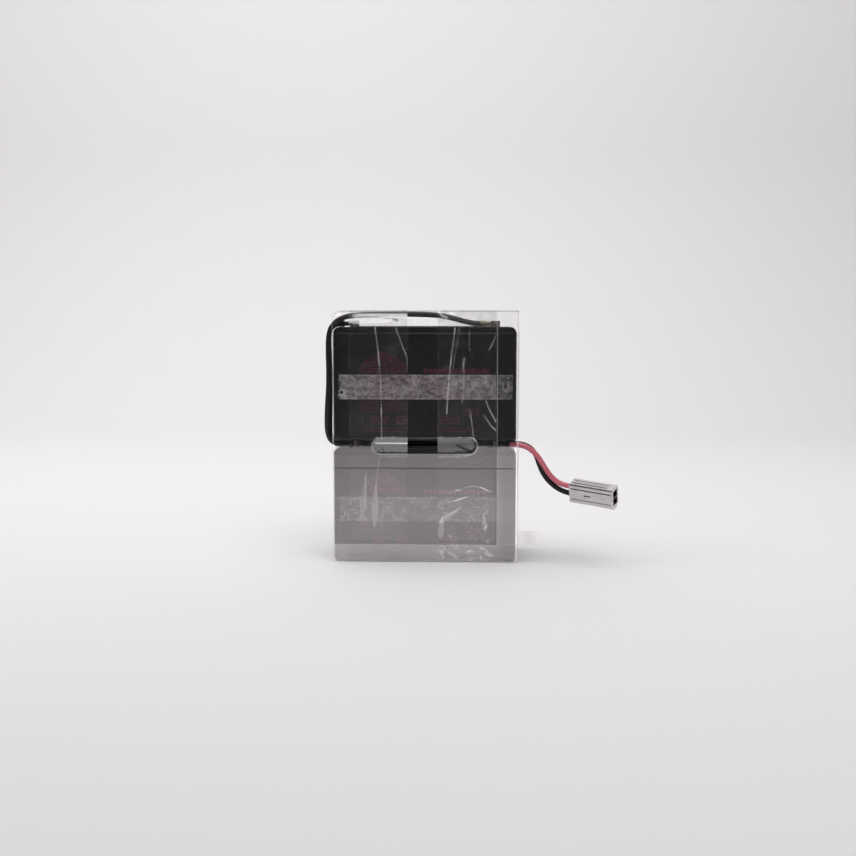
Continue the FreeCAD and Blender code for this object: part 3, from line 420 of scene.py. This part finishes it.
bubbles = [
    (seen((376.5, 480), (374.5, 529)), 0.25, 3.6, 0.26),
    (seen((367, 472), (361.5, 521)), 0.25, 3.2, 0.22),
    (seen((466, 503), (437, 524)), 0.2, 2.7, 0.30),
    (seen((443, 514), (440.5, 540)), 0.25, 3.2, 0.26),
    (seen((483.5, 508), (486, 533)), 0.2, 2.2, 0.28),
    (seen((497, 333), (488, 352)), 0.1, 0.7, 0.12),
    (seen((431, 497), (424, 512)), 0.1, 1.6, 0.12),
    (seen((441, 500), (430, 516)), 0.1, 1.4, 0.12),
    (seen((476, 530), (468, 541)), 0.1, 1.4, 0.12),
    (seen((387, 523.5), (387, 528.5)), 0.1, 1.2, 0.22),
    (seen((451, 532), (451, 538)), 0.1, 1.4, 0.22),
    (seen((488, 537.5), (488, 542.5)), 0.1, 1.2, 0.22),
]


def front_relief(x, z):
    """Outward height in mm and whiteness, a painted highlight, of the front film at (x, z): the sum of every crease's
    bell, and for a bubble a drop whose half width at the share t of its length is w sin(pi t^1.6)."""
    height = np.zeros_like(x, dtype=float)
    white = np.zeros_like(x, dtype=float)
    fade = 0.62 + 0.38 * wave_noise(x, z, 16.0, 31).clip(-1.2, 1)
    # white: a painted highlight along each crease and over each bubble
    for line, tall, width, bright in creases:
        distance = line_distance(x, z, line)
        height += 0.6 * tall * bump(distance, width)
        white += bright * bump(distance, width * 0.7) * fade
    for line, tall, width, bright in bubbles:
        (ax, az), (bx, bz) = line
        dx, dz = bx - ax, bz - az
        t = np.clip(((x - ax) * dx + (z - az) * dz) / (dx * dx + dz * dz), 0, 1)
        half = width * np.sin(math.pi * t ** 1.6) + 0.08
        distance = np.hypot(x - ax - t * dx, z - az - t * dz)
        height += 0.3 * tall * bump(distance, half)
        white += bright * (1 - step(distance / half, 0.7, 1.15))
    return height, white


def slot_distance(x, z, middle=SLOT_MIDDLE):
    """Distance in mm outside a slot with round ends, negative inside: |(max(|x| - a, 0), z - middle)| - r."""
    reach = SLOT_HALF_LENGTH - SLOT_HALF_HEIGHT
    return np.hypot(np.maximum(np.abs(x) - reach, 0), z - middle) - SLOT_HALF_HEIGHT


def over_slot(x, z, middle):
    """1 inside a slot with round ends, 0 outside, over a 0.6 mm edge."""
    return 1 - step(slot_distance(x, z, middle), -0.3, 0.3)


def tape_run():
    """A band's run up the front, over the top and down the back: the length v of each row of points, and the rows'
    y, z, outward y and outward z. The rows are closest at the slot and at the upper bends."""
    corners = np.array([
        (TAPE_LIP, TAPE_FOOT), (TAPE_LIP, LIP_HEIGHT + TAPE_STEP), (TAPE_FRONT, LIP_HEIGHT + 2 * TAPE_STEP),
        (TAPE_FRONT, TAPE_TOP - TAPE_BEND), (TAPE_FRONT + TAPE_BEND, TAPE_TOP), (TAPE_BACK - TAPE_BEND, TAPE_TOP),
        (TAPE_BACK, TAPE_TOP - TAPE_BEND), (TAPE_BACK, TAPE_FOOT),
    ])
    outward = np.array([(-1, 0), (-1, 0), (-1, 0), (-1, 0), (0, 1), (0, 1), (1, 0), (1, 0)], dtype=float)
    lengths = np.hypot(*np.diff(corners, axis=0).T)
    along = np.concatenate([[0], np.cumsum(lengths)])
    slot_start = along[2] + SLOT_MIDDLE - corners[2, 1] - SLOT_REACH
    stops = [*along[:3], slot_start, slot_start + 2 * SLOT_REACH, *along[3:]]
    paces = [0.75, 0.75, 0.75, 0.34, 0.75, 0.3, 1.5, 0.3, 2.0]
    runs = [np.linspace(a, b, max(2, int((b - a) / pace) + 1), endpoint=False)
            for a, b, pace in zip(stops, stops[1:], paces)]
    v = np.concatenate(runs + [[along[-1]]])
    return v, [np.interp(v, along, values) for values in (*corners.T, *outward.T)]


def slot_looks(x, z, wander, seed):
    """Shade, shine and haze of the film at the front slot: a milky inside with a glint along its top, two dark lines
    of painted shade along the rim, a darker spindle and dots, and round it a painted highlight in a bright ring and
    a line below."""
    inside = over_slot(x, z, SLOT_MIDDLE)
    out = slot_distance(x, z)
    glint = bump(z - 99.2, 0.5) * step(x, -42, -39) * (1 - step(x, 8, 12)) * inside
    inner_shade_line = bump(out + 0.9 + 0.2 * wander, 0.6) * step(98.5 - z + 0.12 * x, 0, 3) * step(-out, -0.4, 0.0)
    second_shade_line = bump(out + 2.1 + 0.2 * wander, 0.35) * step(x, 24, 30) * step(100.0 - z, 0, 1)
    spindle = bump(line_distance(x, z, [(27, 97.5), (38, 92.6)]), 0.9)
    dots = bump(np.hypot(x + 35.5, z - 93.2), 2.2) * step(wave_noise(x, z, 2.4, seed + 5), -0.2, 0.5)
    ring = bump(out - 0.7 - 0.1 * wander, 0.4) * (0.65 + 0.35 * wander.clip(-1.2, 1))
    highlight_below = bump(z - 88.2, 0.5) * step(x, -34, -31) * (1 - step(x, 33, 36))
    shade = 0.95 * inner_shade_line + inside * (0.7 * second_shade_line + 0.8 * spindle + 0.8 * dots)
    shine = 0.9 * glint + 0.26 * ring + 0.1 * highlight_below
    milk = 0.42 - 0.14 * step(x, 0, 2) + 0.12 * step(z, 99.6, 100.3)
    return shade, shine, inside * milk + 0.35 * ring + 0.2 * highlight_below


def left_top_looks(x, z, wander):
    """Shade, shine and haze above the lid on the left: painted shade over the see-through, a painted highlight in a
    pale lens with a dark rim, painted glare as milk over the lead, and a dark line near the top.
    """
    lens = np.hypot((x + 46.0) / 22.5, (z - 199.8) / 2.9)
    glare_over_lead = step(z, 201.8, 203.0) * (1 - step(z, 205.8, 206.6)) * step(x, -62, -53)
    shade = 0.13 + 0.04 * wander - 0.1 * (1 - step(lens, 0.8, 1.0))
    shade += 0.75 * bump(lens - 1.06, 0.07) * step(z, 199.0, 200.5)
    shade += 0.6 * bump(z - 206.1 + 0.0008 * (x + 40) ** 2, 0.45) * step(x, -62, -58)
    shine = 0.20 * (1 - step(lens, 0.75, 1.0)) + 0.36 * glare_over_lead
    return shade, shine, 0.08 + 0.45 * (1 - step(lens, 0.8, 1.0)) + 0.6 * glare_over_lead


def right_top_looks(x, z, wander):
    """Shade, shine and haze above the lid on the right: an even painted shade over the see-through, and two
    short glints.
    """
    shine = 0.3 * bump(line_distance(x, z, [(11.8, 207.0), (15.0, 203.6), (18.0, 202.4)]), 0.9)
    shine += 0.25 * bump(line_distance(x, z, [(20.0, 206.6), (24.0, 205.2)]), 0.7)
    return 0.13 + 0.05 * wander, shine, 0.05


def tape_band(name, node, x0, seed, top_looks):
    """A tape band as a grid of points (u, y(v) + rise * out_y, z(v) + rise * out_z), with u across its width and v
    along its run. haze, shade and shine tell the material how the film looks at each point."""
    v, (y, z, out_y, out_z) = tape_run()
    u = np.linspace(x0, x0 + TAPE_WIDTH, TAPE_COLUMNS)
    x, y = np.meshgrid(u, y)
    z, v, out_y, out_z = (np.repeat(values[:, None], u.size, axis=1) for values in (z, v, out_y, out_z))
    front = (y < FRONT_SIDE) * 1.0
    above_lid = front * step(z, 195.2, 196.4)
    on_lip = 1 - step(z, LIP_HEIGHT, LIP_HEIGHT + 0.6)
    on_upper = step(z, 101, 105) * (1 - 0.7 * step(z, 118, 165))
    height, white = front_relief(x, z)
    slow = wave_noise(x, v, 38.0, seed)
    rise = front * height + 0.008 * (slow + 1.2).clip(0, 3) + 0.0006 * wave_noise(x, v, 7.0, seed + 1)
    wander = wave_noise(x, z, 9.0, 77)
    slot_shade, slot_shine, slot_haze = slot_looks(x, z, wander, seed)
    top_shade, top_shine, top_haze = top_looks(x, z, wander)
    # shade: painted shade from the slot's rim and lines and over the see-through above the lid
    shade = (front * slot_shade + above_lid * top_shade).clip(0, 0.92)
    lip_patches = step(wave_noise(x, z * 1.6, 9.0, seed + 8), -0.1, 1.1) * step(x, 10, 11)
    shine = front * (0.42 * white + slot_shine + on_lip * (0.01 + 0.2 * lip_patches)) + above_lid * top_shine
    patches = step(wave_noise(x, v, 16.0, seed + 2), 0.9, 1.6)
    streaks = step(wave_noise(x, v * 0.12, 3.0, seed + 4), 0.8, 1.8)
    streaks *= step(wave_noise(x, v, 30.0, seed + 6), -0.4, 0.8)
    over_top_slot = (1 - front) * (y < BACK_SIDE) * over_slot(x, y, 0.0)
    side_edge = 1 - step(np.minimum(x - x0, x0 + TAPE_WIDTH - x), 0.0, 0.4)
    # haze: the tape's milk, plus painted highlights from the creases, the slot's ring and line, and the lens and glare
    haze = front * (0.9 * white + slot_haze + on_upper * (0.017 + 0.006 * slow)) + above_lid * top_haze
    haze += 0.2 * over_top_slot + 0.04 * patches + 0.04 * streaks + 0.2 * side_edge
    points = np.stack([x, y + rise * out_y, z + rise * out_z], axis=-1).reshape(-1, 3)
    obj = smooth(mesh_object(name, points, grid_faces(*x.shape), {
        "haze": haze, "shade": shade, "shine": shine * (1 - shade)}))
    obj.data.materials.append(tape)
    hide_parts(node)
    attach(obj, "root")


tape_band("left_tape", "left_tape_band", LEFT_TAPE, 11, left_top_looks)
tape_band("right_tape", "right_tape_band", RIGHT_TAPE, 23, right_top_looks)


# Adhesive strips between the batteries and the film

def adhesive_material():
    """Mottled grey adhesive tape: cells of contact and air over the black case. Of the points' attributes, cover says
    how much of it shows, pale lightens it and pink tints it."""
    add, finish = new_material("adhesive")
    combine = combiner(add)
    position = object_position(add)
    stretched = add("ShaderNodeVectorMath", operation="MULTIPLY", i0=position, i1=(0.85, 1.0, 1.15)).outputs[0]
    cells = add("ShaderNodeTexVoronoi", Vector=stretched, Scale=0.6).outputs["Distance"]
    blend = combine("MULTIPLY_ADD", cells, 0.28, noise(add, stretched, 0.36, 4.0, Roughness=0.6))
    blend = combine("MULTIPLY_ADD", noise(add, position, 0.14, 3.0), 0.7, blend)
    blend = combine("ADD", blend, attribute(add, "pale"))
    grey = add("ShaderNodeMapRange", Value=blend, **{"From Min": 0.74, "From Max": 1.40}).outputs[0]
    pink = attribute(add, "pink")
    dark_side = mixed(add, pink, (0.075, 0.068, 0.071, 1), (0.095, 0.06, 0.068, 1))
    light_side = mixed(add, pink, (0.49, 0.465, 0.475, 1), (0.50, 0.42, 0.445, 1))
    body = add("ShaderNodeBsdfPrincipled", **{"Base Color": mixed(add, grey, dark_side, light_side), "Roughness": 0.6})
    clear = add("ShaderNodeBsdfTransparent")
    return finish(add("ShaderNodeMixShader", i0=attribute(add, "cover"), i1=clear.outputs[0], i2=body.outputs[0]))


adhesive = adhesive_material()


def adhesive_strip(name, node, middle, strength, seed):
    """A strip as a grid just in front of the battery face. Its cover is ragged at the left end, step(x - x_end(z))
    with x_end a sum of waves, has a curl with a hole there, is weaker behind the overlap flap but for a hook, and
    is blotchy where the strip's strength is low."""
    x, z = np.meshgrid(np.linspace(-STRIP_HALF_LENGTH, STRIP_HALF_LENGTH, STRIP_COLUMNS),
                       np.linspace(middle - STRIP_HALF_WIDTH, middle + STRIP_HALF_WIDTH, STRIP_ROWS))
    up = z - middle
    x_end = 1.6 - STRIP_HALF_LENGTH + 1.1 * wave_noise(z, z * 0, 7.0, seed) + 0.5 * wave_noise(z, z * 0, 2.0, seed + 1)
    notch = bump(np.hypot(x + 72.0, (up - 2.0) / 1.6), 2.6)
    from_curl = np.hypot(x + 68.6, up + 4.5)
    curl = bump(from_curl - 2.2, 0.6) * strength
    hole = 1 - step(from_curl, 1.0, 1.9)
    hook = bump(np.hypot(x - 66.5, np.minimum(up + 0.5, 0)) - 2.2, 0.6) * step(5.0 - np.abs(up), 0, 1)
    border = bump(np.abs(up) - STRIP_HALF_WIDTH + 0.4, 0.5)
    blotches = step(wave_noise(x, z, 5.5, seed + 3), 0.35, 1.3) * step(x, -42, -34) * (1 - step(x, 22, 34))
    blotches *= 1 - strength
    cover = step(x - x_end, 0.0, 0.4) * (1 - 0.36 * step(x, *FLAP_EDGE)) * (1 - notch)
    cover = np.maximum(cover * (1 - 0.75 * hole), 0.95 * hook)
    cover = (cover + 0.9 * blotches).clip(0, 1)
    pale = 0.14 * border + 0.45 * curl + 0.5 * hook * strength + 0.3 * blotches
    pink = step(wave_noise(x, z, 26.0, 91), -0.9, 0.4) * (step(x, -52, -44) * (1 - step(x, 30, 42)))
    y = BATTERY_FRONT - STRIP_GAP - 0.03 * wave_noise(x, z, 9.0, seed + 2).clip(-1, 1)
    points = np.stack([x, y, z], axis=-1).reshape(-1, 3)
    obj = smooth(mesh_object(name, points, grid_faces(*x.shape), {
        "cover": cover * strength, "pale": pale, "pink": pink}))
    obj.data.materials.append(adhesive)
    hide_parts(node)
    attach(obj, "root")


adhesive_strip("upper_adhesive", "upper_adhesive_strip", UPPER_STRIP_MIDDLE, 0.86, 5)
adhesive_strip("lower_adhesive", "lower_adhesive_strip", LOWER_STRIP_MIDDLE, 0.5, 6)


# Plain red print fields on the battery fronts, with no letters: (x0, x1, z0, z1) in stack millimetres

def field(left, top, right, bottom):
    """A print field from the two corners where the photograph shows it."""
    (x0, z1), (x1, z0) = seen((left, top), (right, bottom))
    return x0, x1, z0, z1


def dashes(left, top, right, bottom, short, long, seed):
    """A row of plain dashes of random lengths between two corners of the photograph."""
    rng = np.random.default_rng(seed)
    row, x = [], left
    while x < right:
        length = rng.uniform(short, long)
        row.append(field(x, top, min(x + length, right), bottom))
        x += length + rng.uniform(0.8, 1.6)
    return row


upper_fields = dashes(424, 368.5, 490, 373.5, 2.5, 5.0, 1)
for line, (top, half) in enumerate(((353, 6), (356, 12), (359, 17), (362, 20), (365, 22), (368, 23), (371, 24))):
    upper_fields += dashes(384 - half, top, 384 + half, top + 1.9, 2.0, 7.0, 10 + line)
for line, top in enumerate((401.5, 404.5, 407.5, 410.5)):
    upper_fields += dashes(360, top, 408 - 3 * (line % 2), top + 1.1, 1.5, 5.0, 20 + line)
for line, top in enumerate((416, 419, 422)):
    upper_fields += dashes(372, top, 390, top + 1.8, 2.0, 4.0, 30 + line)
    upper_fields += dashes(397, top, 408, top + 1.8, 2.0, 4.0, 40 + line)
    upper_fields += dashes(440, top, 460, top + 1.6, 2.0, 4.0, 50 + line)
    upper_fields += dashes(464, top - 8, 480, top - 6.6, 1.5, 4.0, 55 + line)
for line, top in enumerate((427.5, 430.5)):
    upper_fields += dashes(366, top, 408, top + 1.1, 1.5, 5.0, 60 + line)
    upper_fields += dashes(436, top, 478, top + 1.1, 1.5, 5.0, 70 + line)
lower_fields = [(x0, x1, z0 - BATTERY_PITCH, z1 - BATTERY_PITCH) for x0, x1, z0, z1 in upper_fields]


def print_fields(name, fields, finish):
    """Flat fields just in front of the case, with corners cut by a fifth of their height."""
    points, faces = [], []
    for x0, x1, z0, z1 in fields:
        cut = min(1.0, (z1 - z0) * 0.2)
        outline = [(x0 + cut, z0), (x1 - cut, z0), (x1, z0 + cut), (x1, z1 - cut), (x1 - cut, z1), (x0 + cut, z1),
                   (x0, z1 - cut), (x0, z0 + cut)]
        faces.append(list(range(len(points), len(points) + len(outline))))
        points += [(x, BATTERY_FRONT - PRINT_GAP, z) for x, z in outline]
    obj = mesh_object(name, points, faces)
    obj.data.materials.append(finish)
    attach(obj, "root")


print_fields("upper_print", upper_fields, print_red)
print_fields("lower_print", lower_fields, print_red_painted_veil)


# Leads

negative_route = [
    (-67.0, -24.5, 197.6), (-73.4, -24.4, 197.6), (-78.6, -23.4, 193.5), (-80.0, -22.2, 186.8),
    (-80.0, -20.9, 178.5), (-79.7, -19.9, 167.5), (-79.3, -19.4, 154.0), (-79.3, -19.2, 140.0),
    (-79.7, -19.2, 128.0), (-80.0, -19.3, 118.5), (-80.1, -19.4, 111.0), (-79.9, -19.5, 104.8),
    (-78.1, -19.5, 99.6), (-73.2, -19.4, 97.8), (-66.6, -19.2, 97.8), (-57.0, -18.6, 97.8),
    (-46.0, -17.6, 97.8), (-33.0, -16.5, 97.8), (-18.0, -15.8, 97.8), (-3.0, -15.7, 97.8),
    (12.0, -16.1, 97.8), (27.0, -17.0, 97.8), (41.0, -18.1, 97.8), (54.0, -19.0, 97.8),
    (65.5, -19.5, 97.9), (75.0, -19.6, 98.1), (82.4, -19.4, 97.4), (88.8, -18.8, 93.8),
    (93.0, -18.0, 87.6), (95.4, -17.3, 80.2), (98.4, -16.9, 73.2), (102.7, -16.9, 67.0),
    (107.9, -17.3, 62.2), (113.7, -18.6, 58.7), (119.63, -21.16, 56.93), (124.56, -23.78, 56.45),
]
positive_route = [
    (67.0, -24.5, 97.7), (74.8, -24.5, 97.7), (82.7, -24.6, 96.6), (89.5, -24.3, 92.5),
    (94.5, -23.6, 86.8), (98.5, -22.6, 80.3), (102.4, -21.7, 74.0), (106.8, -21.2, 68.7),
    (112.2, -21.3, 65.0), (118.15, -23.01, 63.38), (123.96, -26.10, 62.81),
]


def lead(name, node, route, finish):
    """A round lead along a smooth curve through the construction's route."""
    curve = bpy.data.curves.new(name, "CURVE")
    curve.dimensions = "3D"
    curve.bevel_depth = LEAD_SIZE / 2 / MILLIMETRES
    curve.bevel_resolution = 8
    curve.resolution_u = 10
    curve.use_fill_caps = True
    spline = curve.splines.new("NURBS")
    spline.points.add(len(route) - 1)
    for point, at in zip(spline.points, place(route)):
        point.co = (*at, 1.0)
    spline.order_u = 3
    spline.use_endpoint_u = True
    curve.materials.append(finish)
    obj = bpy.data.objects.new(name, curve)
    bpy.context.scene.collection.objects.link(obj)
    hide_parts(node)
    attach(obj, "root")
    return obj


negative = lead("negative_lead_run", "negative_lead", negative_route, black_vinyl)
positive = lead("positive_lead_run", "positive_lead", positive_route, red_vinyl)
tuple(place(negative_route[0]))
tuple(place(positive_route[0]))


# Stage: a pale sweep that ends in front near the camera, three soft lights and a dim surround

def sweep():
    """Floor from front to bend, a quarter circle (bend + r sin a, r - r cos a) and a wall: points (y, z) in metres."""
    front, bend, radius, top, half_width = -0.957, 1.1, 0.6, 2.4, 2.6
    profile = [(front, 0.0), (bend, 0.0)]
    profile += [(bend + radius * math.sin(a), radius - radius * math.cos(a))
                for a in np.linspace(0.1, math.pi / 2, 14)]
    profile.append((bend + radius, top))
    points = [(x, y, z) for y, z in profile for x in (-half_width, half_width)]
    mesh = bpy.data.meshes.new("sweep")
    mesh.from_pydata(points, [], [tuple(f) for f in grid_faces(len(profile), 2)])
    mesh.update()
    obj = bpy.data.objects.new("sweep", mesh)
    bpy.context.scene.collection.objects.link(obj)
    smooth(obj)
    obj.data.materials.append(solid_material("sweep_paper", (0.785, 0.772, 0.777), 0.85, ior=1.2, spot_size=400.0))


def area_light(name, place_at, aim, size, power):
    """A soft white square light aimed at a point: metres and watts."""
    light = bpy.data.lights.new(name, "AREA")
    light.shape = "SQUARE"
    light.size = size
    light.energy = power
    obj = bpy.data.objects.new(name, light)
    obj.location = place_at
    obj.rotation_mode = "QUATERNION"
    obj.rotation_quaternion = (Vector(aim) - Vector(place_at)).to_track_quat("-Z", "Y")
    bpy.context.scene.collection.objects.link(obj)


def surround():
    """A world that is pale where the camera sees it, dim where it lights, and nearly black where it is mirrored."""
    world = bpy.data.worlds.new("surround")
    bpy.context.scene.world = world
    world.use_nodes = True
    tree = world.node_tree
    tree.nodes.clear()

    def background(*colour):
        node = tree.nodes.new("ShaderNodeBackground")
        node.inputs["Color"].default_value = (*colour, 1)
        return node.outputs[0]

    def either(factor, first, second):
        node = tree.nodes.new("ShaderNodeMixShader")
        for socket, source in zip(node.inputs, (factor, first, second)):
            tree.links.new(source, socket)
        return node.outputs[0]

    ray = tree.nodes.new("ShaderNodeLightPath").outputs
    unseen = either(ray["Is Glossy Ray"], background(0.245, 0.243, 0.247), background(0.008, 0.008, 0.009))
    whole = either(ray["Is Camera Ray"], unseen, background(0.74, 0.75, 0.76))
    tree.links.new(whole, tree.nodes.new("ShaderNodeOutputWorld").inputs["Surface"])


def camera():
    """The photograph's viewpoint."""
    data = bpy.data.cameras.new("camera")
    data.sensor_width = CAMERA_SENSOR
    data.lens = CAMERA_LENS
    data.clip_start = 0.01
    obj = bpy.data.objects.new("camera", data)
    obj.location = place(CAMERA_PLACE)
    pitch, yaw = math.radians(CAMERA_PITCH), math.radians(CAMERA_YAW)
    ahead = Vector((math.sin(yaw) * math.cos(pitch), math.cos(yaw) * math.cos(pitch), -math.sin(pitch)))
    obj.rotation_mode = "QUATERNION"
    obj.rotation_quaternion = ahead.to_track_quat("-Z", "Y")
    bpy.context.scene.collection.objects.link(obj)
    bpy.context.scene.camera = obj


sweep()
surround()
area_light("overhead", (-0.35, 0.25, 1.5), (0, 0, 0.1), 1.7, 6.3)
area_light("front_fill", (0.4, -1.3, 1.6), (0, -0.3, 0.1), 1.0, 7.2)
area_light("back_wash", (-0.5, 0.35, 2.4), (-0.3, 1.8, 1.3), 3.0, 50.0)
camera()
bpy.context.scene.view_settings.view_transform = "Standard"
